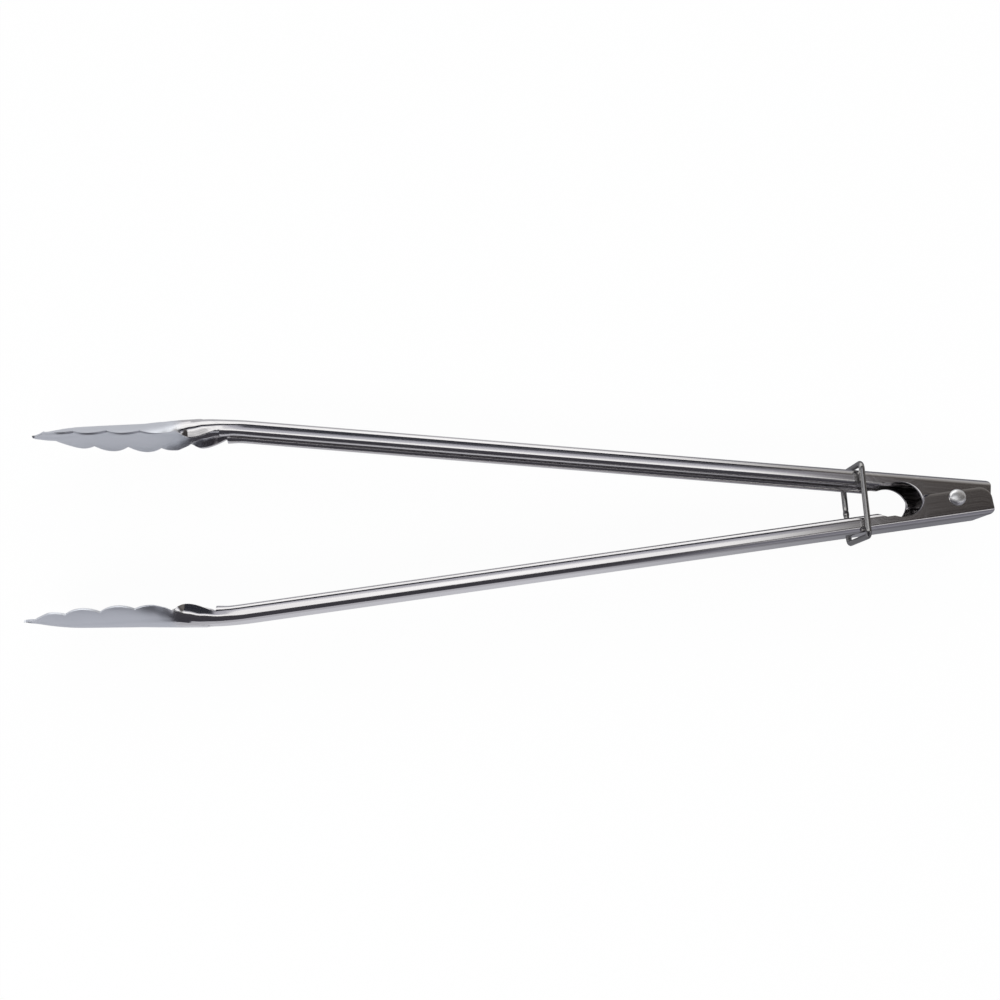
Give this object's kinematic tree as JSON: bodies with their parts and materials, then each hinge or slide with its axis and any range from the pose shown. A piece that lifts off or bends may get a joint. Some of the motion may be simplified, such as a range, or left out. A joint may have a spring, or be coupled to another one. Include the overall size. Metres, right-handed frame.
{
  "type": "spring loaded kitchen tongs",
  "caption": "Long stainless steel utility tongs with scalloped jaws, rolled-edge channel arms, a sprung rivet hinge and a sliding wire locking ring.",
  "frame": {"origin": "on the surface under the middle of the open tongs, which lie on their side", "axes": "+X along the tongs towards the hinge, +Y towards the inner arm, +Z along the pivot rivet"},
  "size_m": [0.4019, 0.086, 0.0348],
  "materials": {
    "arm_steel": "polished stainless sheet, satin inside the jaws",
    "rivet_steel": "satin",
    "spring_steel": "drawn wire",
    "ring_wire": "polished wire"
  },
  "bodies": {
    "outer_arm_body": {"outer_arm": "arm_steel", "pivot_rivet": "rivet_steel", "torsion_spring": "spring_steel"},
    "inner_arm_body": {"inner_arm": "arm_steel"},
    "ring_body": {"locking_ring": "ring_wire"}
  },
  "joints": [
    {"name": "arm_hinge", "type": "hinge", "parent": "outer_arm_body", "child": "inner_arm_body", "pos_m": [0.18599, 0, 0.01762], "axis": [0, 0, 1], "range_deg": [0, 11.3], "stiffness_Nm_per_rad": 0.15, "springref_deg": -20.05, "deforming": ["torsion_spring"]},
    {"name": "ring_slide", "type": "slide", "parent": "outer_arm_body", "child": "ring_body", "axis": [-0.9937, -0.1123, 0], "range_m": [0, 0.036]}
  ],
  "couplings": [
    {"joint": "ring_slide", "follows": "arm_hinge", "m_per_rad": 0.178}
  ]
}
